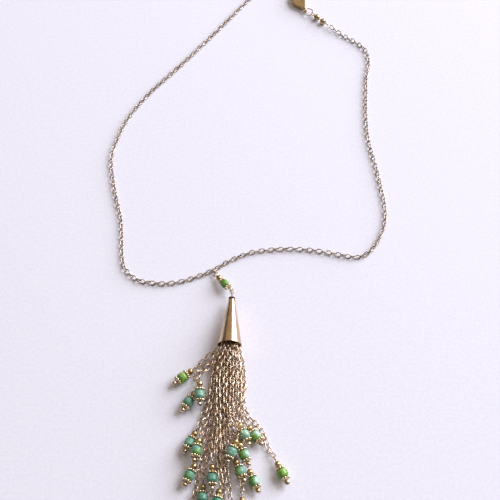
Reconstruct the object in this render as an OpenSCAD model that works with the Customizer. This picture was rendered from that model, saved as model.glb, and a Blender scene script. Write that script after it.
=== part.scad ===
// Tassel necklace lying on a table: a fine cable chain with a claw clasp,
// and a pendant of beads and a metal cone that holds a tassel of chains.
// X runs to the right, Y away from the viewer, Z up. The chain lies on z = 0
// and the origin is the middle of the neck loop.

/* [Neck chain] */
// Wire that the links are bent from
link_wire = 0.55; // [0.45:0.05:0.6]
// Length of one link over its wire
link_length = 4.05; // [4:0.05:4.4]
// Width of one link over its wire
link_width = 2.3; // [2.2:0.05:2.6]
// Free play between two links
link_play = 0.2; // [0.15:0.05:0.25]
// Turn of the links out of the flat, one to each side
link_roll = 45; // [40:1:50]

/* [Wire and rings] */
// Wire of the pins, eyes and rings
pin_wire = 0.5; // [0.4:0.05:0.55]
// Radius of a small eye, to the middle of its wire
eye_radius = 0.95; // [0.95:0.05:1.1]
// Radius of the ring that carries the pendant on the chain, to the middle of its wire
chain_ring_radius = 1.25; // [1.2:0.05:1.4]
// Radius of the ring between clasp and chain, to the middle of its wire
clasp_ring_radius = 2.2; // [2:0.05:2.4]
// Radius of the ring that the claw takes, to the middle of its wire
end_ring_radius = 1.9; // [1.85:0.05:2.05]

/* [Clasp] */
// Round bar of the claw
claw_bar = 1.6; // [1.4:0.05:1.7]
// Half width of the claw, to the middle of its bar
claw_radius = 2.5; // [2.3:0.05:2.8]
// Length of the claw's body from its eye to the start of the bend
claw_body_length = 9.6; // [9:0.1:10.5]
// Thickness of the claw's body
claw_body_thickness = 2.4; // [2:0.1:2.8]
// Height of the claw's middle plane over the table
claw_height = 1.6; // [1.5:0.05:1.8]
// Wire of the claw's tail eye
tail_eye_wire = 0.8; // [0.6:0.05:0.85]
// Radius of the tail eye, to the middle of its wire
tail_eye_radius = 1.15; // [1.1:0.05:1.2]

/* [Beads] */
// Round metal beads
bead_diameter = 2.8; // [2.4:0.1:2.9]
// The two larger ones beside the clasp
link_bead_diameter = 3.2; // [3:0.1:3.4]
// From one of these two to the other
link_bead_step = 4.15; // [4:0.05:4.4]
// From the second of them to the far eye of their pin
link_pin_tail = 4; // [3.8:0.05:4.3]
// Spacers of the pendant, over their grains
pendant_spacer_diameter = 3.7; // [3.5:0.1:3.9]
// Thickness of a spacer
spacer_thickness = 1.1; // [1:0.05:1.2]
// Grains round a spacer
spacer_grains = 7; // [6:1:8]
// Stones of the drops
stone_diameter = 4.4; // [4.2:0.1:4.6]
// Length of a drop's stone
stone_length = 3.3; // [3.1:0.1:3.5]
// Stone of the pendant
pendant_stone_diameter = 3.7; // [3.5:0.1:3.9]
// Length of the pendant's stone
pendant_stone_length = 3.2; // [3:0.1:3.4]
// Radius of the ball that rounds a stone, as a share of its diameter
stone_bulge = 0.53; // [0.52:0.01:0.6]
// Ball at the end of a drop's pin
ball_diameter = 2.2; // [1.9:0.1:2.2]
// Radial room of a bead on its wire
bore_play = 0.1; // [0.1:0.05:0.15]
// Gap between neighbours on a wire
bead_gap = 0.1; // [0.1:0.05:0.15]

/* [Cone] */
// Length of the cone
cone_length = 22; // [21:0.2:23]
// Outer diameter of the mouth
mouth_diameter = 10.4; // [10.2:0.1:10.5]
// Outer diameter of the tip
tip_diameter = 2.9; // [2.7:0.1:3.2]
// Wall of the cone
cone_wall = 0.4; // [0.3:0.05:0.45]
// Rise of the cone's axis towards the mouth, in degrees
cone_rise = 3; // [2.5:0.1:3.5]

/* [Tassel] */
// Thickness of a strand of chain
strand_diameter = 1.9; // [1.6:0.1:1.9]
// Gap between the tassel's head and the cone
head_gap = 0.3; // [0.3:0.05:0.6]

/* [Hidden] */
$fn = 32;
ROUTE_STEPS = 8;     // pieces of the smooth curve between two points of a route
STRAND_STEPS = 3;
STRAND_SIDES = 6;

// Way of the neck chain over the table, from the clasp round to the right;
// its two ends are worked out from the rings that they hang on
NECK_ROUTE = [
    [19.7, 91.8], [16.4, 93.8], [12, 93.6], [7, 90.6], [2, 85.5], [-2, 81],
    [-19.5, 58.5], [-35, 39.5], [-49.5, 22.5], [-59.5, 7], [-65, -9],
    [-66, -17.5], [-64.5, -28.5], [-62, -39.5], [-59.5, -50], [-58.5, -60.5],
    [-57.5, -71], [-55.5, -76], [-50.5, -80.5], [-44.5, -82], [-38, -82.5],
    [-31, -81.5], [-23.5, -79], [-16, -75.5], [-9, -71], [0, -67], [9, -65.5],
    [18, -65], [27, -65.5], [36, -67], [43, -68.5], [49.5, -69], [54.5, -66],
    [59, -59.5], [62, -51], [62.5, -42], [61.5, -33], [59.5, -20], [57, -6],
    [56.5, 6], [57, 18], [58, 31], [59.7, 42], [58.2, 49.6], [53, 54.9],
    [47.5, 58.9]];
PENDANT_POINT = 24;  // the point of the whole route where the pendant hangs

// Places and headings of what joins the chain
TAIL_EYE = [28.6, 75];
CLASP_HEADING = 118;
CLASP_RING_HEADING = -34;
LINK_PIN_HEADING = -44;
CHAIN_END_HEADING = -41;
CHAIN_END_RUN = 8;   // length over which the chain's first and last links lift
RING_LINK_HEIGHT = 1.8;
CHAIN_RING_HEADING = -70;
PENDANT_HEADING = -52;
PENDANT_RISE = 12.5;
CONE_HEADING = -91.8;
touch = 0.1;         // gap between two wires where one hangs in the other

// Drops, from the middle of the cone's mouth: stone's x and y, how many layers of strand
// it lies on, heading of the pin from its eye, dip of the pin, kind of stone
GRASS = 0; SEA = 1; DEEP = 2; PALE = 3; MIXED = 4;
DROPS = [
    [-20, -13.4, 0, 220, -4, GRASS],
    [-17.2, -24.3, 0, 238, -4, SEA],
    [-12.4, -21.6, 1.15, 271, 10, SEA],
    [6.4, -39.1, 1, 295, 0, PALE],
    [11, -38.9, 0, 306, -4, MIXED],
    [1.2, -46.9, 2.2, 248, 4, SEA],
    [6.4, -47.6, 1.25, 294, 0, MIXED],
    [4.8, -54.4, 1.1, 291, -10, DEEP],
    [10.4, -57.9, 0, 293, -4, MIXED],
    [21.9, -54.5, 0, 296, -4, GRASS],
    [-16.1, -41.7, 0, 243, -4, SEA],
    [-13.2, -45.7, 1.05, 258, -6, SEA],
    [-15.9, -55.4, 0, 245, -4, DEEP],
    [-6.6, -56.9, 1, 270, 0, DEEP],
    [-10.4, -64.3, 0, 268, -4, SEA],
    [-4.6, -66.8, 1, 258, 0, DEEP],
    [5.6, -69.6, 0, 271, -4, GRASS],
    [-17, -73, 0, 250, -4, GRASS],
    [-2.5, -82, 0, 275, -4, SEA],
    [-9, -79.5, 0, 262, -4, PALE],
    [4.5, -86, 0, 282, -4, DEEP]];

// Strands in the same order, from the mouth to their drops: place in the mouth
// round the cone's axis (x, height), then the points that the strand passes
LAYER = strand_diameter + 0.15;
LOW = strand_diameter / 2 + 0.05;
MID = LOW + LAYER;
TOP = MID + LAYER;
STRANDS = [
    [[-3.3, -0.7], [[-9.3, -4, 2.6], [-12, -6.4, 1.8]]],
    [[-2.9, -1.8], [[-8, -6, LOW], [-12, -9.5, LOW], [-14.4, -12.5, LOW]]],
    [[-3.2, 0.5], [[-6.5, -5.5, 5.3], [-9.4, -10, 5.2]]],
    [[2.4, 1.5], [[3.4, -6, 6], [4.3, -14, TOP], [4.3, -24, TOP]]],
    [[3.2, 0.5], [[5.2, -6, 4.2], [6.2, -14, MID], [5.4, -24, MID]]],
    [[0.6, 1.5], [[1.2, -14, TOP], [0.9, -26, TOP], [1.7, -33, 6]]],
    [[1.6, 0.5], [[2.4, -14, MID], [1.8, -24, MID], [1, -31, MID], [1.6, -36, MID]]],
    [[-1.2, 1.5], [[-1.6, -14, TOP], [-1.6, -26, TOP], [-0.5, -36, MID]]],
    [[3.1, -1.9], [[3.8, -6, 1.9], [4.4, -14, LOW], [4, -26, LOW], [4, -34, LOW],
        [4.6, -40, LOW], [5.8, -46, LOW]]],
    [[3.5, -0.7], [[5.4, -6, 2.2], [6.4, -14, LOW], [6, -22, LOW], [7, -28, LOW],
        [9.2, -31.4, LOW], [12.3, -34.5, LOW], [14.8, -39, LOW], [16.2, -43.5, LOW]]],
    [[-1.8, -3.1], [[-5.9, -6, LOW], [-7.6, -14, LOW], [-9, -22, LOW], [-10.8, -29, LOW]]],
    [[-1.8, -0.7], [[-5.2, -6, 3.6], [-6.9, -14, MID], [-7.8, -24, MID], [-9.4, -31, MID]]],
    [[-1, -1.9], [[-4.3, -6, 1.9], [-5.6, -14, LOW], [-7.4, -26, LOW], [-10, -38, LOW],
        [-11.6, -44, LOW]]],
    [[-1.6, 0.5], [[-4.6, -14, MID], [-4.8, -26, MID], [-6, -38, MID]]],
    [[1, -1.9], [[-1.6, -14, LOW], [-3.4, -26, LOW], [-5.8, -38, LOW], [-7.7, -46, LOW]]],
    [[-2.8, 1.5], [[-3.7, -6, 6], [-4.7, -14, TOP], [-4.4, -26, TOP], [-4.2, -38, TOP], [-4, -50, 4.2]]],
    [[0, -0.7], [[0, -14, MID], [-0.6, -26, MID], [1.2, -38, LOW], [3.3, -50, LOW],
        [5, -57, LOW]]],
    [[0, -3.1], [[-3.6, -14, LOW], [-5.4, -26, LOW], [-7.9, -38, LOW], [-9.8, -46, LOW],
        [-12.1, -54, LOW], [-13.1, -60, LOW]]],
    [[1.8, -0.7], [[2.6, -14, LOW], [0.4, -26, LOW], [-1.8, -37, LOW], [-1.8, -50, LOW],
        [-1.8, -60, LOW], [-2.6, -68, LOW]]],
    [[1.8, -3.1], [[0.4, -14, LOW], [-1.6, -26, LOW], [-3.9, -38, LOW], [-4.6, -50, LOW],
        [-6.4, -60, LOW]]],
    [[0, 0.5], [[-2.3, -14, MID], [-2.7, -26, MID], [-2.6, -38, MID], [-1.2, -50, MID],
        [0.2, -60, MID], [1.6, -70, LOW]]]];

STONE_NODES = [
    "drop_stone_01", "drop_stone_02", "drop_stone_03", "drop_stone_04", "drop_stone_05",
    "drop_stone_06", "drop_stone_07", "drop_stone_08", "drop_stone_09", "drop_stone_10",
    "drop_stone_11", "drop_stone_12", "drop_stone_13", "drop_stone_14", "drop_stone_15",
    "drop_stone_16", "drop_stone_17", "drop_stone_18", "drop_stone_19", "drop_stone_20",
    "drop_stone_21"];

BRASS = [0.72, 0.6, 0.42];
DARK_BRASS = [0.55, 0.43, 0.27];
STONE_COLOURS = [
    [0.42, 0.66, 0.2], [0.36, 0.66, 0.54], [0.18, 0.55, 0.46], [0.55, 0.77, 0.65],
    [0.5, 0.68, 0.35]];

// Smooth curve through all points of a route
function spline(p, steps) =
    let (last = len(p) - 1,
         q = concat([2 * p[0] - p[1]], p, [2 * p[last] - p[last - 1]]))
    concat([for (i = [1 : len(q) - 3], j = [0 : steps - 1])
        let (t = j / steps, a = q[i - 1], b = q[i], c = q[i + 1], d = q[i + 2])
        (2 * b + (c - a) * t + (2 * a - 5 * b + 4 * c - d) * t * t
            + (3 * b - a - 3 * c + d) * t * t * t) / 2], [p[last]]);

// Length of a curve up to each of its points
function lengths(p) =
    [for (i = 0, s = 0; i < len(p);
        i = i + 1, s = i < len(p) ? s + norm(p[i] - p[i - 1]) : s) s];

function heading(v) = atan2(v[1], v[0]);
function polar(angle, rise = 0) =
    [cos(angle) * cos(rise), sin(angle) * cos(rise), sin(rise)];

bend_radius = (link_width - link_wire) / 2;
link_height = bend_radius * sin(link_roll) + link_wire / 2;
link_reach = (link_length - link_wire) / 2;

// Claw clasp, and the ring that stands in its bend
belly_x = claw_body_length - 2.6;
hole_x = claw_body_length - 1.4;
belly_radius = claw_radius + claw_bar / 2;
claw_nose_x = claw_body_length + claw_radius;
end_ring_x = claw_nose_x - claw_bar / 2 - pin_wire / 2 - 4 * touch + end_ring_radius;
end_ring_height = end_ring_radius + pin_wire / 2;
// From the ring's middle to the end of the first link, which hangs in it
end_ring_reach = sqrt(pow(end_ring_radius - pin_wire / 2 - link_wire / 2 - 4 * touch, 2)
    - pow(end_ring_height - RING_LINK_HEIGHT, 2));
chain_start = TAIL_EYE
    + (end_ring_x + end_ring_reach + link_reach) * [cos(CLASP_HEADING), sin(CLASP_HEADING)];

// Pin between the clasp's tail ring and the chain's other end
bead_x = eye_radius + pin_wire / 2 + bead_gap + bead_diameter / 2;
link_bead_first = eye_radius + pin_wire / 2 + bead_gap + link_bead_diameter / 2;
link_bead_x = [link_bead_first, link_bead_first + link_bead_step];
link_pin_eye_x = link_bead_x[1] + link_pin_tail;
link_pin_height = link_bead_diameter / 2 + touch / 2;
clasp_ring_place = [TAIL_EYE[0], TAIL_EYE[1], link_pin_height]
    + clasp_ring_radius * polar(CLASP_RING_HEADING);
link_eye_place = clasp_ring_place
    + (clasp_ring_radius + eye_radius - pin_wire - touch) * polar(CLASP_RING_HEADING);
chain_end_eye = link_eye_place + link_pin_eye_x * polar(LINK_PIN_HEADING);
chain_end = chain_end_eye + (eye_radius - pin_wire / 2 - link_wire / 2 - touch) * polar(LINK_PIN_HEADING)
    + link_reach * polar(CHAIN_END_HEADING);

// Neck chain: links at equal steps along the route
neck_curve = spline(
    concat([chain_start], NECK_ROUTE, [[chain_end[0], chain_end[1]]]), ROUTE_STEPS);
neck_runs = lengths(neck_curve);
neck_length = neck_runs[len(neck_runs) - 1];
neck_x = [for (i = [0 : len(neck_curve) - 1]) [neck_runs[i], neck_curve[i][0]]];
neck_y = [for (i = [0 : len(neck_curve) - 1]) [neck_runs[i], neck_curve[i][1]]];
full_pitch = link_length - 2 * link_wire - link_play;
link_steps = ceil(neck_length / full_pitch);
link_pitch = neck_length / link_steps;
neck_z = [[link_pitch / 2, RING_LINK_HEIGHT], [CHAIN_END_RUN, link_height],
    [neck_length - CHAIN_END_RUN, link_height], [neck_length - link_pitch / 2, chain_end[2]]];
function on_neck(s) = [lookup(s, neck_x), lookup(s, neck_y), lookup(s, neck_z)];
function link_place(k) =
    let (s = k * link_pitch, rise = (on_neck(s + link_pitch / 2)[2] + on_neck(s - link_pitch / 2)[2]) / 2)
    [on_neck(s)[0], on_neck(s)[1], rise];
function link_direction(k) = on_neck((k + 0.5) * link_pitch) - on_neck((k - 0.5) * link_pitch);
function link_heading(k) = heading(link_direction(k));
function link_lift(k) = asin(link_direction(k)[2] / norm(link_direction(k)));
// The link that carries the pendant turns its front wire up, and so does every second link
pendant_link = round(neck_runs[PENDANT_POINT * ROUTE_STEPS] / link_pitch);

// Pendant: a ring on the link's front wire, the pin, a second ring, then the cone
front_wire = link_place(pendant_link) + bend_radius
    * (cos(link_roll) * polar(link_heading(pendant_link) - 90) + [0, 0, sin(link_roll)]);
chain_ring_step = chain_ring_radius - pin_wire / 2 - link_wire / 2 - 1.5 * touch;
chain_ring_place = [front_wire[0], front_wire[1], chain_ring_radius + pin_wire / 2 + touch / 2]
    + chain_ring_step * polar(CHAIN_RING_HEADING);
pin_place = chain_ring_place
    + (chain_ring_radius + eye_radius - pin_wire - 2 * touch) * polar(CHAIN_RING_HEADING);
pendant_spacer_x = bead_x + bead_diameter / 2 + bead_gap + spacer_thickness / 2;
pendant_stone_x = pendant_spacer_x + spacer_thickness / 2 + bead_gap + pendant_stone_length / 2;
pendant_end_x = 2 * pendant_stone_x - pendant_spacer_x;
pendant_eye_x = pendant_end_x + spacer_thickness / 2 + bead_gap + pin_wire / 2 + eye_radius;
pin_end = pin_place + pendant_eye_x * polar(PENDANT_HEADING, PENDANT_RISE);
eye_step = 2 * eye_radius - pin_wire - touch;
ring_place = pin_end + eye_step * polar(PENDANT_HEADING, cone_rise);
cone_eye_place = ring_place + eye_step * polar(CONE_HEADING, cone_rise);
cone_neck = 1.8;     // from the eye's wire to the cone's tip
tip_x = eye_radius + pin_wire / 2 + cone_neck;
mouth_place = cone_eye_place + (tip_x + cone_length) * polar(CONE_HEADING, cone_rise);

// Drops: places along the pin from its eye
spacer_x = bead_x + bead_diameter / 2 + bead_gap + spacer_thickness / 2;
stone_x = spacer_x + spacer_thickness / 2 + bead_gap + stone_length / 2;
ball_x = 2 * stone_x - spacer_x + spacer_thickness / 2 + bead_gap + ball_diameter / 2;
strand_gap = 0.15;   // between a strand's end and the eye of its drop
function drop_axis(k) = polar(DROPS[k][3], -DROPS[k][4]);
tilt_room = 0.15;    // a tilted stone's edge lies lower than its middle
function drop_stone_place(k) = [
    mouth_place[0] + DROPS[k][0], mouth_place[1] + DROPS[k][1],
    stone_diameter / 2 + tilt_room + DROPS[k][2] * LAYER];
function strand_end(k) =
    drop_stone_place(k) - (stone_x + eye_radius + pin_wire / 2 + strand_gap) * drop_axis(k);

// Tassel: how far its strands and head reach back into the cone
STRAND_ROOT = 6;
HEAD_FRONT = 4;
HEAD_BACK = 12;
ROOT_SHRINK = 0.55;  // strands draw together towards the head by this share
cone_slope = (mouth_diameter - tip_diameter) / 2 / cone_length;
function bore_radius(depth) = mouth_diameter / 2 - cone_wall - depth * cone_slope;
function in_cone(depth, across, up) =
    mouth_place - depth * polar(CONE_HEADING, cone_rise) + [across, 0, up];
function strand_route(k) =
    let (at = STRANDS[k][0])
    concat(
        [in_cone(STRAND_ROOT, at[0] * ROOT_SHRINK, at[1] * ROOT_SHRINK), in_cone(0, at[0], at[1])],
        [for (p = STRANDS[k][1]) [mouth_place[0] + p[0], mouth_place[1] + p[1], p[2]]],
        [strand_end(k)]);

// Places a piece made along +X at a point, with a heading and a rise
module aim(place, angle, rise = 0) {
    translate(place) rotate([0, -rise, angle]) children();
}

module ring(radius, wire) {
    rotate_extrude() translate([radius, 0]) circle(d = wire);
}

// Oval link in the XY plane with its length along X
module link() {
    straight = link_length - link_width;
    for (end = [0, 180]) rotate([0, 0, end]) {
        translate([straight / 2, 0, 0]) rotate([0, 0, -90])
            rotate_extrude(angle = 180) translate([bend_radius, 0]) circle(d = link_wire);
        translate([-straight / 2, bend_radius, 0]) rotate([0, 90, 0])
            cylinder(d = link_wire, h = straight);
    }
}

module neck_links(first, last) {
    for (k = [first : last])
        aim(link_place(k), link_heading(k), link_lift(k))
            rotate([(k - pendant_link) % 2 == 0 ? -link_roll : link_roll, 0, 0]) link();
}

module neck_chain_left() { color(BRASS) neck_links(0, pendant_link); }

module neck_chain_right() { color(BRASS) neck_links(pendant_link + 1, link_steps); }

// Body between two round ends, in the XY plane with its length along X
module tapered_bar(r1, r2, distance, height) {
    lean = asin((r2 - r1) / distance);
    translate([0, 0, -height / 2]) {
        cylinder(r = r1, h = height);
        translate([distance, 0, 0]) cylinder(r = r2, h = height);
        linear_extrude(height) polygon([
            r1 * [-sin(lean), cos(lean)], r1 * [-sin(lean), -cos(lean)],
            [distance, 0] + r2 * [-sin(lean), -cos(lean)],
            [distance, 0] + r2 * [-sin(lean), cos(lean)]]);
    }
}

// Claw clasp, shut: a body that widens from the tail eye, and the round claw before it
tail_width = 1.8;
module clasp() {
    color(BRASS) aim([TAIL_EYE[0], TAIL_EYE[1], claw_height], CLASP_HEADING) {
        rotate([90, 0, 0]) ring(tail_eye_radius, tail_eye_wire);
        difference() {
            translate([tail_eye_radius + tail_width / 2, 0, 0])
                tapered_bar(tail_width / 2, belly_radius, belly_x - tail_eye_radius - tail_width / 2,
                    claw_body_thickness);
            translate([hole_x, 0, -claw_body_thickness])
                cylinder(r = claw_radius - claw_bar / 2, h = 2 * claw_body_thickness);
            translate([hole_x, claw_bar / 2 - claw_radius, -claw_body_thickness])
                cube([claw_nose_x - hole_x, 2 * claw_radius - claw_bar, 2 * claw_body_thickness]);
        }
        for (side = [-1, 1]) translate([belly_x, side * claw_radius, 0]) rotate([0, 90, 0])
            cylinder(d = claw_bar, h = claw_body_length - belly_x);
        translate([claw_body_length, 0, 0]) rotate([0, 0, -90])
            rotate_extrude(angle = 180) translate([claw_radius, 0]) circle(d = claw_bar);
    }
}

// Ring that the claw takes: it stands on the table, through the claw's bend
module end_ring() {
    color(BRASS) aim([TAIL_EYE[0], TAIL_EYE[1], end_ring_height], CLASP_HEADING)
        translate([end_ring_x, 0, 0]) rotate([90, 0, 0]) ring(end_ring_radius, pin_wire);
}

// Flat ring through the tail eye
module clasp_ring() {
    color(BRASS) translate(clasp_ring_place) ring(clasp_ring_radius, pin_wire);
}

// Pin with an eye at both ends, between that ring and the chain
module link_pin() {
    color(BRASS) aim(link_eye_place, LINK_PIN_HEADING)
        double_eye_pin(link_pin_eye_x, eye_radius, 0,
            (link_steps - pendant_link) % 2 == 0 ? link_roll : -link_roll);
}

module link_beads() {
    color(DARK_BRASS) aim(link_eye_place, LINK_PIN_HEADING)
        for (x = link_bead_x) translate([x, 0, 0]) round_bead(link_bead_diameter);
}

// Pin along +X with an eye at each end; the turns swing the eyes' planes from upright
module double_eye_pin(distance, first_radius, turn, far_turn) {
    rotate([90 + turn, 0, 0]) ring(first_radius, pin_wire);
    translate([distance, 0, 0]) rotate([90 + far_turn, 0, 0]) ring(eye_radius, pin_wire);
    translate([first_radius, 0, 0]) rotate([0, 90, 0])
        cylinder(d = pin_wire, h = distance - first_radius - eye_radius);
}

// Beads are made along Z, round their bore, and laid along X
module drilled(length) {
    rotate([0, 90, 0]) difference() {
        children();
        translate([0, 0, -length]) cylinder(d = pin_wire + 2 * bore_play, h = 2 * length);
    }
}

module round_bead(diameter) {
    drilled(diameter) sphere(d = diameter);
}

// Barrel stone: a cylinder whose ends are cut by a ball
module barrel(diameter, length) {
    drilled(length) intersection() {
        translate([0, 0, -length / 2]) cylinder(d = diameter, h = length);
        sphere(r = stone_bulge * diameter);
    }
}

// Spacer: grains soldered round a washer
module spacer(diameter) {
    grain = spacer_thickness;
    ring_radius = (diameter - grain) / 2;
    drilled(grain) {
        translate([0, 0, -grain / 4]) cylinder(r = ring_radius, h = grain / 2);
        for (i = [0 : spacer_grains - 1]) rotate([0, 0, i * 360 / spacer_grains])
            translate([ring_radius, 0, 0]) sphere(d = grain);
    }
}

module on_pendant(x) {
    aim(pin_place, PENDANT_HEADING, PENDANT_RISE) translate([x, 0, 0]) children();
}

module pendant_pin() {
    color(BRASS) on_pendant(0) double_eye_pin(pendant_eye_x, eye_radius, 90, 0);
}

module pendant_bead() { color(DARK_BRASS) on_pendant(bead_x) round_bead(bead_diameter); }

module pendant_spacers() {
    color(BRASS) for (x = [pendant_spacer_x, pendant_end_x]) on_pendant(x) spacer(pendant_spacer_diameter);
}

module pendant_stone() {
    color(STONE_COLOURS[GRASS]) on_pendant(pendant_stone_x)
        barrel(pendant_stone_diameter, pendant_stone_length);
}

// Upright ring on the chain's link, for the pin's first eye
module chain_ring() {
    color(BRASS) aim(chain_ring_place, CHAIN_RING_HEADING)
        rotate([90, 0, 0]) ring(chain_ring_radius, pin_wire);
}

// Flat ring between the pin and the cone's eye
module pendant_ring() {
    color(BRASS) translate(ring_place) ring(eye_radius, pin_wire);
}

module on_cone(x) {
    aim(cone_eye_place, CONE_HEADING, cone_rise) translate([x, 0, 0]) rotate([0, 90, 0]) children();
}

// Hollow cone, open at both ends
module cone() {
    color(BRASS) on_cone(tip_x) difference() {
        cylinder(d1 = tip_diameter, d2 = mouth_diameter, h = cone_length);
        translate([0, 0, -1]) cylinder(
            r1 = bore_radius(cone_length + 1), r2 = bore_radius(-1), h = cone_length + 2);
    }
}

// Eye above the cone, its wire going down to the tassel's head
module cone_eye() {
    reach = tip_x + cone_length - (HEAD_FRONT + HEAD_BACK) / 2;
    color(BRASS) {
        on_cone(0) rotate([90, 0, 0]) ring(eye_radius, pin_wire);
        on_cone(eye_radius) cylinder(d = pin_wire, h = reach - eye_radius);
    }
}

// Tube of a strand: one ring of corners at each point of its curve, which stays over the table
module strand(k) {
    p = [for (q = spline(strand_route(k), STRAND_STEPS)) [q[0], q[1], max(q[2], LOW)]];
    n = len(p);
    corners = [for (i = [0 : n - 1])
        let (v = i == n - 1 ? drop_axis(k) : p[i + 1] - p[max(i - 1, 0)],
             along = v / norm(v),
             side = cross(along, [0, 0, 1]) / norm(cross(along, [0, 0, 1])),
             up = cross(side, along))
        for (j = [0 : STRAND_SIDES - 1])
            let (a = (j + 0.5) * 360 / STRAND_SIDES)
            p[i] + strand_diameter / 2 * (cos(a) * side + sin(a) * up)];
    faces = concat(
        [[for (j = [STRAND_SIDES - 1 : -1 : 0]) j]],
        [for (i = [0 : n - 2], j = [0 : STRAND_SIDES - 1])
            let (a = i * STRAND_SIDES + j, b = i * STRAND_SIDES + (j + 1) % STRAND_SIDES)
            [a, b, b + STRAND_SIDES, a + STRAND_SIDES]],
        [[for (j = [0 : STRAND_SIDES - 1]) (n - 1) * STRAND_SIDES + j]]);
    polyhedron(corners, faces);
}

// Tassel: all strands grow from one head inside the cone, which the eye's wire enters
module tassel() {
    color(BRASS) difference() {
        union() {
            on_cone(tip_x + cone_length - HEAD_BACK)
                cylinder(r1 = bore_radius(HEAD_BACK) - head_gap, r2 = bore_radius(HEAD_FRONT) - head_gap,
                    h = HEAD_BACK - HEAD_FRONT, $fn = 16);
            for (k = [0 : len(STRANDS) - 1]) {
                strand(k);
                hull() for (place = [strand_route(k)[0], in_cone(HEAD_BACK - 2, 0, 0)])
                    translate(place) cube(strand_diameter / 2, center = true);
            }
        }
        on_cone(tip_x + cone_length - HEAD_BACK - 1)
            cylinder(d = pin_wire + 2 * bore_play, h = (HEAD_BACK - HEAD_FRONT) / 2 + 1.2, $fn = 12);
    }
}

// Places children along drop k's pin, at a distance from its eye
module on_drop(k, x) {
    aim(drop_stone_place(k), DROPS[k][3], -DROPS[k][4]) translate([x - stone_x, 0, 0]) children();
}

module drop_pins() {
    color(BRASS) for (k = [0 : len(DROPS) - 1]) on_drop(k, 0) {
        rotate([90, 0, 0]) ring(eye_radius, pin_wire);
        translate([eye_radius, 0, 0]) rotate([0, 90, 0]) cylinder(d = pin_wire, h = ball_x - eye_radius);
        translate([ball_x, 0, 0]) sphere(d = ball_diameter);
    }
}

module drop_beads() {
    color(DARK_BRASS) for (k = [0 : len(DROPS) - 1]) on_drop(k, bead_x) round_bead(bead_diameter);
}

module drop_stone(k) {
    color(STONE_COLOURS[DROPS[k][5]]) on_drop(k, stone_x) barrel(stone_diameter, stone_length);
}

neck_chain_left();
neck_chain_right();
clasp();
clasp_ring();
end_ring();
link_pin();
link_beads();
pendant_pin();
pendant_bead();
pendant_spacers();
pendant_stone();
chain_ring();
pendant_ring();
cone();
cone_eye();
tassel();
drop_pins();
drop_beads();
for (k = [0 : len(STONE_NODES) - 1])
    drop_stone(k);
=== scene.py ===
# Tassel necklace: antiqued brass chains, a polished cone and green stones
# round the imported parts. Sizes are in millimetres until they become vertices.
import math

import bpy
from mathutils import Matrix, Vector


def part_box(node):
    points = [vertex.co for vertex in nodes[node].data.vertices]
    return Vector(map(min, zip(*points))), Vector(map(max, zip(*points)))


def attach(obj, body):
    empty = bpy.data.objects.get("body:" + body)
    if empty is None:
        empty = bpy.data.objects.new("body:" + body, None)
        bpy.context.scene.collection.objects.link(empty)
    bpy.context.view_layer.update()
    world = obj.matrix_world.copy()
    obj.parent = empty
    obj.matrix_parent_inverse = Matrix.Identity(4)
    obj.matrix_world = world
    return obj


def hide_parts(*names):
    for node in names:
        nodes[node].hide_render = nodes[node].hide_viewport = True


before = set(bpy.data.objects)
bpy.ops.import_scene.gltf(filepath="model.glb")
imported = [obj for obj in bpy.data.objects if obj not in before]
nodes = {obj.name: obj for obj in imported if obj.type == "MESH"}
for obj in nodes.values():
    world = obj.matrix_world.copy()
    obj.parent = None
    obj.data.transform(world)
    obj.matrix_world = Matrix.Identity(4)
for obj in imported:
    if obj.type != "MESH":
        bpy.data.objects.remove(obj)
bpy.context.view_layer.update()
scene = bpy.context.scene
mm = 0.001
studioMiddle = (0, -80, 0)   # that the lamps stand round


# one function for every node: settings are its properties, values its free
# sockets, links the sockets that other nodes feed, by name or number
def addNode(tree, kind, settings=None, values=None, links=None):
    node = tree.nodes.new(kind)
    for name, value in (settings or {}).items():
        setattr(node, name, value)
    for name, value in (values or {}).items():
        node.inputs[name].default_value = value
    for name, socket in (links or {}).items():
        tree.links.new(socket, node.inputs[name])
    return node


def linear(hexColour):
    channels = [int(hexColour[i:i + 2], 16) / 255 for i in (1, 3, 5)]
    return (*(c / 12.92 if c <= 0.04045 else ((c + 0.055) / 1.055) ** 2.4 for c in channels), 1.0)


def polar(heading, rise=0.0):
    a, e = math.radians(heading), math.radians(rise)
    return Vector((math.cos(a) * math.cos(e), math.sin(a) * math.cos(e), math.sin(e)))


# camera: 62 degrees down on the floor, a frame of 500 x 500 pixels seen with a
# lens of 1000 pixels
camera = {
    "elevation": 62,
    "lensPixels": 1000,
    "framePixels": 500,
    "sensor": 36,
    "aim": (0, -65, 0),
    "distance": 454.5,
}
cameraData = bpy.data.cameras.new("camera")
cameraData.sensor_width = camera["sensor"]
cameraData.lens = camera["sensor"] * camera["lensPixels"] / camera["framePixels"]
cameraData.clip_start = 0.01
cameraObject = bpy.data.objects.new("camera", cameraData)
cameraPlace = Vector(camera["aim"]) + polar(-90, camera["elevation"]) * camera["distance"]
cameraObject.location = cameraPlace * mm
cameraObject.rotation_euler = (math.radians(90 - camera["elevation"]), 0, 0)
scene.collection.objects.link(cameraObject)
scene.camera = cameraObject
print("camera set")


# materials
def newMaterial(name):
    material = bpy.data.materials.new(name)
    material.use_nodes = True
    tree = material.node_tree
    place = addNode(tree, "ShaderNodeTexCoord").outputs["Object"]
    return material, tree, tree.nodes["Principled BSDF"], place


def noise(tree, place, grain, detail=3.0, rough=0.5):
    return addNode(tree, "ShaderNodeTexNoise",
                   values={"Scale": 1 / (grain * mm), "Detail": detail, "Roughness": rough},
                   links={"Vector": place}).outputs["Fac"]


def ramp(tree, factor, stops):
    node = addNode(tree, "ShaderNodeValToRGB", links={"Fac": factor})
    points = node.color_ramp.elements
    while len(points) < len(stops):
        points.new(0.5)
    for point, (at, colour) in zip(points, stops):
        point.position = at
        point.color = linear(colour)
    return node.outputs["Color"]


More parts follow.
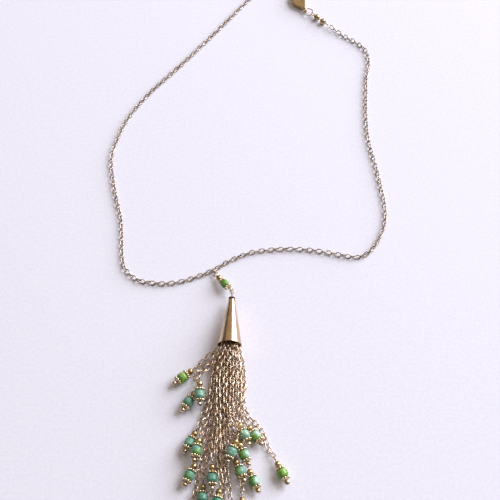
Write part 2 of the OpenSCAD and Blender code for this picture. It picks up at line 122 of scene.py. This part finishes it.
def bump(tree, shader, height, depth, strength):
    node = addNode(tree, "ShaderNodeBump", values={"Distance": depth * mm, "Strength": strength},
                   links={"Height": height})
    tree.links.new(node.outputs["Normal"], shader.inputs["Normal"])


# where the noise of a patch passes from one tone to the next, and the span
# over which tarnish dulls the polish
brassStops = (0.3, 0.48, 0.64)
brassDulled = (0.35, 0.65)


# brass in three tones: patches of tarnish that also dull the polish, and fine
# marks of the tool
def brass(name, tones, patch, rough, mark, markDepth, markStrength=0.5):
    material, tree, shader, place = newMaterial(name)
    patches = noise(tree, place, patch, detail=4.0, rough=0.6)
    tree.links.new(ramp(tree, patches, list(zip(brassStops, tones))), shader.inputs["Base Color"])
    shader.inputs["Metallic"].default_value = 1.0
    polished, dull = rough
    dulled = addNode(tree, "ShaderNodeMapRange",
                     values={"From Min": brassDulled[0], "From Max": brassDulled[1],
                             "To Min": dull, "To Max": polished},
                     links={"Value": patches})
    tree.links.new(dulled.outputs["Result"], shader.inputs["Roughness"])
    bump(tree, shader, noise(tree, place, mark, detail=2.0), markDepth, markStrength)
    return material


# bent wire, antiqued and rubbed back: champagne outside, brown where the
# polish doesn't reach
chainBrass = brass("antiqued_brass_chain", ("#8E6C4E", "#D2B89C", "#F2E9DE"),
                   1.5, (0.16, 0.34), 0.2, 0.02)
# the neck's finer chain is duller and greyer
dullBrass = brass("dull_brass_chain", ("#7A6A5E", "#B4A494", "#D8CEC4"),
                  1.5, (0.26, 0.42), 0.2, 0.02)
# the clasp, cast and tumbled smooth
castBrass = brass("cast_brass_clasp", ("#A08660", "#BCA27C", "#D2BC94"),
                  5.0, (0.2, 0.28), 1.2, 0.01, 0.3)
# bent wire of the pins and rings
wireBrass = brass("antiqued_brass_wire", ("#8E7050", "#D0B898", "#F0E6D8"),
                  1.8, (0.16, 0.32), 0.2, 0.02)
# round beads, cast and tumbled bright
beadBrass = brass("polished_brass_beads", ("#94784E", "#C0A67C", "#D8C69C"),
                  2.2, (0.24, 0.32), 0.4, 0.01)
# grains of the spacers, bright on top
grainBrass = brass("granulated_brass", ("#9C8662", "#DCCAA4", "#F4EAD2"),
                   1.0, (0.18, 0.3), 0.25, 0.01)
# the spacer at the cone's tip is left black
darkBrass = brass("oxidised_brass", ("#2E2018", "#4A382A", "#7A6450"),
                  1.0, (0.3, 0.42), 0.25, 0.015)
# sheet of the cone, polished, with long soft dents
coneBrass = brass("polished_sheet_brass", ("#BC9E7C", "#CDB396", "#DCC6AA"),
                  7.0, (0.17, 0.25), 3.0, 0.08, 0.35)


# dyed jade, tumbled and polished; lengths in millimetres
jadeLook = {
    "cloud": 2.6,
    "stops": (0.3, 0.5, 0.72),
    "change": 0.7,      # half the width over which one green becomes the other
    "roughness": 0.32,
    "ior": 1.54,
    "subsurface": 0.5,
    "radius": (0.5, 1.0, 0.6),
    "depth": 1.2,
    "pit": 0.6,
    "pitDepth": 0.02,
}


# clouded green with paler veins, a wet gloss, and light that goes a little way
# in; a stone of two greens changes across its middle. The change of hue is the stone's own, but the
# lighter green always lies on the side toward the window, so that half is a painted lit side
def jade(name, tones, other=None, centre=None, across=None):
    material, tree, shader, place = newMaterial(name)
    clouds = noise(tree, place, jadeLook["cloud"], detail=3.0, rough=0.55)
    colour = ramp(tree, clouds, list(zip(jadeLook["stops"], tones)))
    # second green on the side that across points to: its hue is the stone's own, and the lighter of the
    # two greens faces the window as a painted lit side
    if other:
        second = ramp(tree, clouds, list(zip(jadeLook["stops"], other)))
        fromCentre = addNode(tree, "ShaderNodeVectorMath", settings={"operation": "SUBTRACT"},
                             links={0: place})
        fromCentre.inputs[1].default_value = centre * mm
        along = addNode(tree, "ShaderNodeVectorMath", settings={"operation": "DOT_PRODUCT"},
                        links={0: fromCentre.outputs["Vector"]})
        along.inputs[1].default_value = across
        half = jadeLook["change"] * mm
        change = addNode(tree, "ShaderNodeMapRange", values={"From Min": -half, "From Max": half},
                         links={"Value": along.outputs["Value"]})
        mix = addNode(tree, "ShaderNodeMix", settings={"data_type": "RGBA"},
                      links={"Factor": change.outputs["Result"], 6: colour, 7: second})
        colour = mix.outputs[2]
    tree.links.new(colour, shader.inputs["Base Color"])
    for socket, value in (("Roughness", "roughness"), ("IOR", "ior"),
                          ("Subsurface Weight", "subsurface"), ("Subsurface Radius", "radius")):
        shader.inputs[socket].default_value = jadeLook[value]
    shader.inputs["Subsurface Scale"].default_value = jadeLook["depth"] * mm
    bump(tree, shader, noise(tree, place, jadeLook["pit"], detail=2.0), jadeLook["pitDepth"], 0.4)
    return material


# deep, main and pale tone of each green
greens = {
    "grass": ("#55842E", "#7EA848", "#A6C47C"),
    "leaf": ("#42743C", "#639650", "#8CB47C"),
    "sea": ("#427C68", "#689A86", "#96BAAA"),
    "deep": ("#306E5A", "#4E8A76", "#7AA898"),
    "pale": ("#789E8A", "#96B8A6", "#B8CEC2"),
}

# drops as the solids have them: green, second green and the side it lies on
# (the lighter of the two greens always faces the window, a painted lit side),
# heading and dip of the pin, place in the mouth, then the points that the
# strand passes from the middle of the mouth, in three layers
low, mid, top = 1.0, 3.05, 5.1
drops = [
    ("grass", None, 0, 220, -4, (-3.3, -0.7), [(-9.3, -4, 2.6), (-12, -6.4, 1.8)]),
    ("sea", None, 0, 238, -4, (-2.9, -1.8),
     [(-8, -6, low), (-12, -9.5, low), (-14.4, -12.5, low)]),
    ("sea", None, 0, 271, 10, (-3.2, 0.5), [(-6.5, -5.5, 5.3), (-9.4, -10, 5.2)]),
    ("pale", None, 0, 295, 0, (2.4, 1.5), [(3.4, -6, 6), (4.3, -14, top), (4.3, -24, top)]),
    ("grass", "pale", 60, 306, -4, (3.2, 0.5),
     [(5.2, -6, 4.2), (6.2, -14, mid), (5.4, -24, mid)]),
    ("sea", None, 0, 248, 4, (0.6, 1.5), [(1.2, -14, top), (0.9, -26, top), (1.7, -33, 6)]),
    ("grass", "pale", 10, 294, 0, (1.6, 0.5),
     [(2.4, -14, mid), (1.8, -24, mid), (1, -31, mid), (1.6, -36, mid)]),
    ("sea", "leaf", 200, 291, -10, (-1.2, 1.5),
     [(-1.6, -14, top), (-1.6, -26, top), (-0.5, -36, mid)]),
    ("leaf", "pale", 0, 293, -4, (3.1, -1.9),
     [(3.8, -6, 1.9), (4.4, -14, low), (4, -26, low), (4, -34, low), (4.6, -40, low),
      (5.8, -46, low)]),
    ("grass", None, 0, 296, -4, (3.5, -0.7),
     [(5.4, -6, 2.2), (6.4, -14, low), (6, -22, low), (7, -28, low), (9.2, -31.4, low),
      (12.3, -34.5, low), (14.8, -39, low), (16.2, -43.5, low)]),
    ("sea", None, 0, 243, -4, (-1.8, -3.1),
     [(-5.9, -6, low), (-7.6, -14, low), (-9, -22, low), (-10.8, -29, low)]),
    ("sea", "leaf", 270, 258, -6, (-1.8, -0.7),
     [(-5.2, -6, 3.6), (-6.9, -14, mid), (-7.8, -24, mid), (-9.4, -31, mid)]),
    ("leaf", "sea", 30, 245, -4, (-1, -1.9),
     [(-4.3, -6, 1.9), (-5.6, -14, low), (-7.4, -26, low), (-10, -38, low), (-11.6, -44, low)]),
    ("deep", None, 0, 270, 0, (-1.6, 0.5), [(-4.6, -14, mid), (-4.8, -26, mid), (-6, -38, mid)]),
    ("sea", None, 0, 268, -4, (1, -1.9),
     [(-1.6, -14, low), (-3.4, -26, low), (-5.8, -38, low), (-7.7, -46, low)]),
    ("deep", None, 0, 258, 0, (-2.8, 1.5),
     [(-3.7, -6, 6), (-4.7, -14, top), (-4.4, -26, top), (-4.2, -38, top), (-4, -50, 4.2)]),
    ("leaf", "grass", 0, 271, -4, (0, -0.7),
     [(0, -14, mid), (-0.6, -26, mid), (1.2, -38, low), (3.3, -50, low), (5, -57, low)]),
    ("grass", None, 0, 250, -4, (0, -3.1),
     [(-3.6, -14, low), (-5.4, -26, low), (-7.9, -38, low), (-9.8, -46, low), (-12.1, -54, low),
      (-13.1, -60, low)]),
    ("sea", None, 0, 275, -4, (1.8, -0.7),
     [(2.6, -14, low), (0.4, -26, low), (-1.8, -37, low), (-1.8, -50, low), (-1.8, -60, low),
      (-2.6, -68, low)]),
    ("pale", None, 0, 262, -4, (1.8, -3.1),
     [(0.4, -14, low), (-1.6, -26, low), (-3.9, -38, low), (-4.6, -50, low), (-6.4, -60, low)]),
    ("deep", None, 0, 282, -4, (0, 0.5),
     [(-2.3, -14, mid), (-2.7, -26, mid), (-2.6, -38, mid), (-1.2, -50, mid), (0.2, -60, mid),
      (1.6, -70, low)]),
]


def middle(name):
    lowest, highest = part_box(name)
    return (Vector(lowest) + Vector(highest)) / 2 / mm


stoneMiddles = [middle(f"drop_stone_{i + 1:02d}") for i in range(len(drops))]


def dress(name, material):
    mesh = nodes[name].data
    mesh.materials.clear()
    mesh.materials.append(material)


# each two-green stone turns its lighter green toward the window: painted lit side over the stone's own
# change of hue
for i, drop in enumerate(drops):
    green, second, side = drop[:3]
    name = f"drop_stone_{i + 1:02d}"
    dress(name, jade(name + "_jade", greens[green], second and greens[second], stoneMiddles[i],
                     polar(side)))
# the pendant stone's lighter grass green faces the window side: painted lit side
dress("pendant_stone", jade("pendant_jade", greens["leaf"], greens["grass"], middle("pendant_stone"),
                            polar(100)))
dress("clasp", castBrass)
for name in ("clasp_ring", "end_ring"):
    dress(name, dullBrass)
for name in ("link_pin", "pendant_pin", "chain_ring", "pendant_ring", "cone_eye", "drop_pins"):
    dress(name, wireBrass)
for name in ("link_beads", "pendant_bead", "drop_beads"):
    dress(name, beadBrass)
dress("pendant_spacers", grainBrass)
dress("cone", coneBrass)
print("materials on the packed parts")


def ownPiece(name, mesh, slot, *replaced):
    piece = bpy.data.objects.new(name, mesh)
    scene.collection.objects.link(piece)
    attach(piece, "root")
    if replaced:
        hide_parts(*replaced)
    return piece


# smooth curve through all points, as the solids' routes are made
def smooth(points, pieces):
    points = [Vector(p) for p in points]
    ends = [points[0] * 2 - points[1], *points, points[-1] * 2 - points[-2]]
    curve = []
    for a, b, c, d in zip(ends, ends[1:], ends[2:], ends[3:]):
        for k in range(pieces):
            t = k / pieces
            curve.append((b * 2 + (c - a) * t + (a * 2 - b * 5 + c * 4 - d) * t ** 2
                          + (b * 3 - a - c * 3 + d) * t ** 3) / 2)
    return curve + [points[-1]]


# points at equal steps along a curve, at most one pitch apart; even gives an
# even number of steps
def evenSteps(curve, pitch, even=False):
    runs = [0.0]
    for a, b in zip(curve, curve[1:]):
        runs.append(runs[-1] + (b - a).length)
    count = math.ceil(runs[-1] / pitch)
    count += even and count % 2
    steps, j = [], 0
    for k in range(count + 1):
        s = runs[-1] * k / count
        while j < len(runs) - 2 and runs[j + 1] < s:
            j += 1
        t = (s - runs[j]) / (runs[j + 1] - runs[j])
        steps.append(curve[j].lerp(curve[j + 1], min(max(t, 0), 1)))
    return steps


# a curve object whose points are the middles of the links of each strand
def linkPath(name, strands):
    curve = bpy.data.curves.new(name, "CURVE")
    curve.dimensions = "3D"
    for steps in strands:
        spline = curve.splines.new("POLY")
        spline.points.add(len(steps) - 1)
        for point, place in zip(spline.points, steps):
            point.co = (*(place * mm), 1)
    path = bpy.data.objects.new(name, curve)
    scene.collection.objects.link(path)
    return path


def addInput(tree, name, kind, value):
    socket = tree.interface.new_socket(name, in_out="INPUT", socket_type="NodeSocket" + kind)
    socket.default_value = value


def addMath(tree, operation, a, b=0.0):
    node = addNode(tree, "ShaderNodeMath", settings={"operation": operation})
    for i, value in enumerate((a, b)):
        if isinstance(value, (int, float)):
            node.inputs[i].default_value = value
        else:
            tree.links.new(value, node.inputs[i])
    return node.outputs[0]


# Geometry Nodes: an oval wire link on each point of a path, rolled to one side
# and the other in turn, with a slow twist along the chain
def linkTree(bendPoints, wireSides):
    tree = bpy.data.node_groups.new("cable_chain", "GeometryNodeTree")
    tree.interface.new_socket("Path", in_out="INPUT", socket_type="NodeSocketGeometry")
    for name in ("Length", "Width", "Wire", "Roll", "Jitter", "Twist", "Twist Length"):
        addInput(tree, name, "Float", 0.0)
    addInput(tree, "Seed", "Int", 0)
    addInput(tree, "Material", "Material", None)
    tree.interface.new_socket("Links", in_out="OUTPUT", socket_type="NodeSocketGeometry")
    group = addNode(tree, "NodeGroupInput").outputs

    radius = addMath(tree, "MULTIPLY", addMath(tree, "SUBTRACT", group["Width"], group["Wire"]), 0.5)
    half = addMath(tree, "MULTIPLY", addMath(tree, "SUBTRACT", group["Length"], group["Width"]), 0.5)
    circle = addNode(tree, "GeometryNodeCurvePrimitiveCircle", values={"Resolution": bendPoints},
                     links={"Radius": radius})
    turned = addNode(tree, "GeometryNodeTransform",
                     values={"Rotation": (0, 0, math.pi / bendPoints)},
                     links={"Geometry": circle.outputs["Curve"]})
    position = addNode(tree, "GeometryNodeInputPosition").outputs["Position"]
    x = addNode(tree, "ShaderNodeSeparateXYZ", links={"Vector": position}).outputs["X"]
    shift = addNode(tree, "ShaderNodeCombineXYZ",
                    links={"X": addMath(tree, "MULTIPLY", addMath(tree, "SIGN", x), half)})
    oval = addNode(tree, "GeometryNodeSetPosition",
                   links={"Geometry": turned.outputs["Geometry"], "Offset": shift.outputs["Vector"]})
    section = addNode(tree, "GeometryNodeCurvePrimitiveCircle", values={"Resolution": wireSides},
                      links={"Radius": addMath(tree, "MULTIPLY", group["Wire"], 0.5)})
    wire = addNode(tree, "GeometryNodeCurveToMesh",
                   links={"Curve": oval.outputs["Geometry"], "Profile Curve": section.outputs["Curve"]})
    soft = addNode(tree, "GeometryNodeSetShadeSmooth", links={"Geometry": wire.outputs["Mesh"]})

    tangent = addNode(tree, "GeometryNodeInputTangent").outputs["Tangent"]
    along = addNode(tree, "FunctionNodeAxesToRotation",
                    settings={"primary_axis": "X", "secondary_axis": "Z"},
                    values={"Secondary Axis": (0, 0, 1)}, links={"Primary Axis": tangent})
    index = addNode(tree, "GeometryNodeInputIndex").outputs["Index"]
    odd = addMath(tree, "MODULO", index, 2.0)
    turn = addMath(tree, "SUBTRACT", addMath(tree, "MULTIPLY", odd, 2.0), 1.0)
    chance = addNode(tree, "FunctionNodeRandomValue", settings={"data_type": "FLOAT"},
                     links={2: addMath(tree, "MULTIPLY", group["Jitter"], -1.0), 3: group["Jitter"],
                            "Seed": group["Seed"]}).outputs[1]
    wave = addNode(tree, "ShaderNodeTexNoise", values={"Detail": 0.0},
                   links={"Vector": position,
                          "Scale": addMath(tree, "DIVIDE", 1.0, group["Twist Length"])}).outputs["Fac"]
    twist = addMath(tree, "MULTIPLY", addMath(tree, "SUBTRACT", wave, 0.5), group["Twist"])
    leaning = addMath(tree, "ADD", addMath(tree, "MULTIPLY", turn, group["Roll"]), chance)
    angle = addMath(tree, "ADD", leaning, twist)
    rolled = addNode(tree, "FunctionNodeAxisAngleToRotation", values={"Axis": (1, 0, 0)},
                     links={"Angle": angle})
    both = addNode(tree, "FunctionNodeRotateRotation", settings={"rotation_space": "LOCAL"},
                   links={"Rotation": along.outputs["Rotation"],
                          "Rotate By": rolled.outputs["Rotation"]})
    placed = addNode(tree, "GeometryNodeInstanceOnPoints",
                     links={"Points": group["Path"], "Instance": soft.outputs["Geometry"],
                            "Rotation": both.outputs["Rotation"]})
    real = addNode(tree, "GeometryNodeRealizeInstances", links={"Geometry": placed.outputs["Instances"]})
    painted = addNode(tree, "GeometryNodeSetMaterial",
                      links={"Geometry": real.outputs["Geometry"], "Material": group["Material"]})
    addNode(tree, "NodeGroupOutput", links={"Links": painted.outputs["Geometry"]})
    return tree


# the tree's inputs for a chain, from its dictionary
def chainInputs(chain, seed, material):
    return {"Length": chain["length"] * mm, "Width": chain["width"] * mm, "Wire": chain["wire"] * mm,
            "Roll": math.radians(chain["roll"]), "Jitter": math.radians(chain["jitter"]),
            "Twist": math.radians(chain["twist"]), "Twist Length": chain["twistLength"] * mm,
            "Seed": seed, "Material": material}


# runs a tree on a source object and keeps the result as a plain mesh
def grown(source, tree, name, inputs):
    modifier = source.modifiers.new("grow", "NODES")
    modifier.node_group = tree
    for socket in tree.interface.items_tree:
        if socket.in_out == "INPUT" and socket.name in inputs:
            modifier[socket.identifier] = inputs[socket.name]
    depsgraph = bpy.context.evaluated_depsgraph_get()
    mesh = bpy.data.meshes.new_from_object(source.evaluated_get(depsgraph), depsgraph=depsgraph)
    mesh.name = name
    source.modifiers.remove(modifier)
    bpy.data.objects.remove(source)
    return mesh


chainTree = linkTree(bendPoints=16, wireSides=6)

# neck chain, finer than its solids and on the same way: one run up to the link
# that carries the pendant, one after it
neckChain = {
    "length": 3.15,
    "width": 2.25,
    "wire": 0.5,
    "pitch": 2.2,
    "roll": 45,
    "jitter": 7,
    "twist": 50,
    "twistLength": 14,
    "height": 0.95,
    "routePieces": 8,
    "start": (21.46, 88.43, 1.8),
    "pendant": (-16.35, -75.69),
    "end": (42.04, 63.29, 1.65),
    "before": [
        (19.7, 91.8), (16.4, 93.8), (12, 93.6), (7, 90.6), (2, 85.5), (-2, 81),
        (-19.5, 58.5), (-35, 39.5), (-49.5, 22.5), (-59.5, 7), (-65, -9),
        (-66, -17.5), (-64.5, -28.5), (-62, -39.5), (-59.5, -50), (-58.5, -60.5),
        (-57.5, -71), (-55.5, -76), (-50.5, -80.5), (-44.5, -82), (-38, -82.5),
        (-31, -81.5), (-23.5, -79)],
    "after": [
        (-9, -71), (0, -67), (9, -65.5), (18, -65), (27, -65.5), (36, -67),
        (43, -68.5), (49.5, -69), (54.5, -66), (59, -59.5), (62, -51), (62.5, -42),
        (61.5, -33), (59.5, -20), (57, -6), (56.5, 6), (57, 18), (58, 31),
        (59.7, 42), (58.2, 49.6), (53, 54.9), (47.5, 58.9)],
}


def neckSteps():
    flat = [(x, y, neckChain["height"]) for x, y in
            (*neckChain["before"], neckChain["pendant"], *neckChain["after"])]
    pieces = neckChain["routePieces"]
    route = smooth([neckChain["start"], *flat, neckChain["end"]], pieces)
    cut = pieces * (len(neckChain["before"]) + 1)
    first = evenSteps(route[:cut + 1], neckChain["pitch"], even=True)
    return first + evenSteps(route[cut:], neckChain["pitch"])[1:]


neckPoints = neckSteps()
neckMesh = grown(linkPath("neck_path", [neckPoints]), chainTree, "neck_chain",
                 chainInputs(neckChain, 3, dullBrass))
ownPiece("neck_chain", neckMesh, "chain", "neck_chain_left", "neck_chain_right")
print("neck chain", len(neckPoints), "links", len(neckMesh.polygons), "faces")

# the cone's mouth, from its own vertices
coneHeading, coneRise = -91.8, 3
coneAxis = polar(coneHeading, coneRise)
coneVertices = [v.co / mm for v in nodes["cone"].data.vertices]
mouthReach = max(v.dot(coneAxis) for v in coneVertices)
rimDepth = 0.01
rim = [v for v in coneVertices if v.dot(coneAxis) > mouthReach - rimDepth]
mouth = Vector([(min(v[i] for v in rim) + max(v[i] for v in rim)) / 2 for i in range(3)])
print("mouth", [round(c, 2) for c in mouth])

# the tassel's chains run from its head in the cone to the drops' eyes
tasselChain = {
    "length": 3.5,
    "width": 2.45,
    "wire": 0.48,
    "pitch": 2.25,
    "roll": 45,
    "jitter": 9,
    "twist": 60,
    "twistLength": 9,
    "routePieces": 12,
    "rootDepth": 6.0,
    "rootShrink": 0.55,
    "eyeReach": 7.05,   # from a stone's middle back to its eye's
    "lastLink": 1.75,   # from the eye's middle back to the last link's
}


def strandSteps(i):
    heading, dip, (across, up), passes = drops[i][3:]
    inMouth = Vector((across, 0, up))
    points = [mouth - coneAxis * tasselChain["rootDepth"] + inMouth * tasselChain["rootShrink"],
              mouth + inMouth]
    points += [(mouth.x + x, mouth.y + y, z) for x, y, z in passes]
    reach = tasselChain["eyeReach"] + tasselChain["lastLink"]
    points.append(stoneMiddles[i] - polar(heading, -dip) * reach)
    route = [Vector((p.x, p.y, max(p.z, low))) for p in smooth(points, tasselChain["routePieces"])]
    return evenSteps(route, tasselChain["pitch"])


strandPoints = [strandSteps(i) for i in range(len(drops))]
strandMesh = grown(linkPath("strand_paths", strandPoints), chainTree, "tassel_chains",
                   chainInputs(tasselChain, 11, chainBrass))
ownPiece("tassel_chains", strandMesh, "tassel", "tassel")
print("tassel chains", sum(map(len, strandPoints)), "links", len(strandMesh.polygons), "faces")

# granulated spacers on both sides of each drop's stone, and one at the cone's tip
spacer = {
    "diameter": 4.4,
    "thickness": 1.1,
    "grains": 9,
    "washer": 0.85,     # of the circle that the grains stand on
    "washerSides": 20,
    "offset": 2.3,      # from the stone's middle
    "tipDiameter": 3.0,
    "tipGap": 0.75,     # from the cone's tip to the middle of its spacer
    "segments": 10,
    "rings": 7,
}


# Geometry Nodes: on each point a washer with grains soldered round it, turned
# and sized by the point's attributes
def spacerTree():
    tree = bpy.data.node_groups.new("granulated_spacer", "GeometryNodeTree")
    tree.interface.new_socket("Places", in_out="INPUT", socket_type="NodeSocketGeometry")
    addInput(tree, "Grain", "Float", 0.0)
    addInput(tree, "Diameter", "Float", 0.0)
    addInput(tree, "Grains", "Int", 9)
    addInput(tree, "Material", "Material", None)
    tree.interface.new_socket("Spacers", in_out="OUTPUT", socket_type="NodeSocketGeometry")
    group = addNode(tree, "NodeGroupInput").outputs
    radius = addMath(tree, "MULTIPLY", addMath(tree, "SUBTRACT", group["Diameter"], group["Grain"]), 0.5)
    grainRadius = addMath(tree, "MULTIPLY", group["Grain"], 0.5)
    circle = addNode(tree, "GeometryNodeCurvePrimitiveCircle",
                     links={"Resolution": group["Grains"], "Radius": radius})
    ball = addNode(tree, "GeometryNodeMeshUVSphere",
                   values={"Segments": spacer["segments"], "Rings": spacer["rings"]},
                   links={"Radius": grainRadius})
    balls = addNode(tree, "GeometryNodeInstanceOnPoints",
                    links={"Points": circle.outputs["Curve"], "Instance": ball.outputs["Mesh"]})
    washer = addNode(tree, "GeometryNodeMeshCylinder", values={"Vertices": spacer["washerSides"]},
                     links={"Radius": addMath(tree, "MULTIPLY", radius, spacer["washer"]),
                            "Depth": grainRadius})
    joined = addNode(tree, "GeometryNodeJoinGeometry", links={"Geometry": balls.outputs["Instances"]})
    tree.links.new(washer.outputs["Mesh"], joined.inputs["Geometry"])
    axis = addNode(tree, "GeometryNodeInputNamedAttribute", settings={"data_type": "FLOAT_VECTOR"},
                   values={"Name": "axis"}).outputs["Attribute"]
    size = addNode(tree, "GeometryNodeInputNamedAttribute", settings={"data_type": "FLOAT_VECTOR"},
                   values={"Name": "size"}).outputs["Attribute"]
    aim = addNode(tree, "FunctionNodeAlignRotationToVector", settings={"axis": "Z"},
                  links={"Vector": axis})
    placed = addNode(tree, "GeometryNodeInstanceOnPoints",
                     links={"Points": group["Places"], "Instance": joined.outputs["Geometry"],
                            "Rotation": aim.outputs["Rotation"], "Scale": size})
    real = addNode(tree, "GeometryNodeRealizeInstances", links={"Geometry": placed.outputs["Instances"]})
    soft = addNode(tree, "GeometryNodeSetShadeSmooth", links={"Geometry": real.outputs["Geometry"]})
    painted = addNode(tree, "GeometryNodeSetMaterial",
                      links={"Geometry": soft.outputs["Geometry"], "Material": group["Material"]})
    addNode(tree, "NodeGroupOutput", links={"Spacers": painted.outputs["Geometry"]})
    return tree


def spacerPlaces():
    places, axes, sizes = [], [], []
    for stone, drop in zip(stoneMiddles, drops):
        axis = polar(drop[3], -drop[4])
        for side in (-1, 1):
            places.append((stone + axis * spacer["offset"] * side) * mm)
            axes.append(axis)
            sizes.append(Vector((1, 1, 1)))
    return places, axes, sizes


def tipPlace():
    tipReach = min(v.dot(coneAxis) for v in coneVertices)
    size = spacer["tipDiameter"] / spacer["diameter"]
    place = (mouth - coneAxis * (mouthReach - tipReach + spacer["tipGap"])) * mm
    return [place], [coneAxis], [Vector((size, size, 1))]


def spacerPoints(places, axes, sizes):
    mesh = bpy.data.meshes.new("spacer_places")
    mesh.from_pydata(places, [], [])
    for name, vectors in (("axis", axes), ("size", sizes)):
        attribute = mesh.attributes.new(name, "FLOAT_VECTOR", "POINT")
        attribute.data.foreach_set("vector", [c for v in vectors for c in v])
    source = bpy.data.objects.new("spacer_places", mesh)
    scene.collection.objects.link(source)
    return source


washers = spacerTree()
for name, found, material in (("drop_spacers", spacerPlaces(), grainBrass),
                              ("tip_spacer", tipPlace(), darkBrass)):
    spacerMesh = grown(spacerPoints(*found), washers, name, {
        "Grain": spacer["thickness"] * mm, "Diameter": spacer["diameter"] * mm,
        "Grains": spacer["grains"], "Material": material})
    ownPiece(name, spacerMesh, "spacer")
    print(name, len(spacerMesh.polygons), "faces")


# plain pale floor
def paleFloor():
    material, tree, shader, place = newMaterial("pale_floor")
    grain = noise(tree, place, 1.2, detail=2.0)
    tree.links.new(ramp(tree, grain, [(0.35, "#E4E4F3"), (0.65, "#EAEAF8")]),
                   shader.inputs["Base Color"])
    shader.inputs["Roughness"].default_value = 0.9
    return material


floorHalf = 4.0   # metres
floorMesh = bpy.data.meshes.new("floor")
floorMesh.from_pydata([(x * floorHalf, y * floorHalf, 0) for x, y in ((-1, -1), (1, -1), (1, 1), (-1, 1))],
                      [], [(0, 1, 2, 3)])
floorMesh.materials.append(paleFloor())
floor = bpy.data.objects.new("floor", floorMesh)
scene.collection.objects.link(floor)

# soft studio light: a large window behind on the right, a dim warm wall at the
# back that the cone mirrors, and a weak ceiling; distances and sizes in metres
lamps = {
    "window": {"towards": (0.73, 0.469, 0.5), "distance": 3.0, "size": (2.6, 2.7), "power": 186,
               "colour": "#F8F9FF"},
    "wall": {"towards": (-0.12, 0.8, 0.6), "distance": 2.0, "size": (1.7, 1.5), "power": 3.5,
             "colour": "#E6C79A"},
    "ceiling": {"towards": (-0.1, 0.1, 1.0), "distance": 1.6, "size": (1.2, 1.2), "power": 4.2,
                "colour": "#FFEEDA"},
}
for name, lamp in lamps.items():
    data = bpy.data.lights.new(name, "AREA")
    data.shape = "RECTANGLE"
    data.size, data.size_y = lamp["size"]
    data.energy = lamp["power"]
    data.color = linear(lamp["colour"])[:3]
    lampObject = bpy.data.objects.new(name, data)
    towards = Vector(lamp["towards"]).normalized()
    lampObject.location = Vector(studioMiddle) * mm + towards * lamp["distance"]
    lampObject.rotation_euler = towards.to_track_quat("Z", "Y").to_euler()
    scene.collection.objects.link(lampObject)
world = bpy.data.worlds.new("studio")
world.use_nodes = True
sky = world.node_tree
sky.nodes["Background"].inputs["Color"].default_value = linear("#E2D3C2")
sky.nodes["Background"].inputs["Strength"].default_value = 0.2
# a pale wall stands behind the floor's edge when the part is seen from the side
wall = addNode(sky, "ShaderNodeBackground", values={"Color": linear("#E4E0EC"), "Strength": 0.9})
seen = addNode(sky, "ShaderNodeMixShader",
               links={0: addNode(sky, "ShaderNodeLightPath").outputs["Is Camera Ray"],
                      1: sky.nodes["Background"].outputs["Background"], 2: wall.outputs["Background"]})
sky.links.new(seen.outputs["Shader"], sky.nodes["World Output"].inputs["Surface"])
scene.world = world
scene.view_settings.view_transform = "Standard"
print("studio set")
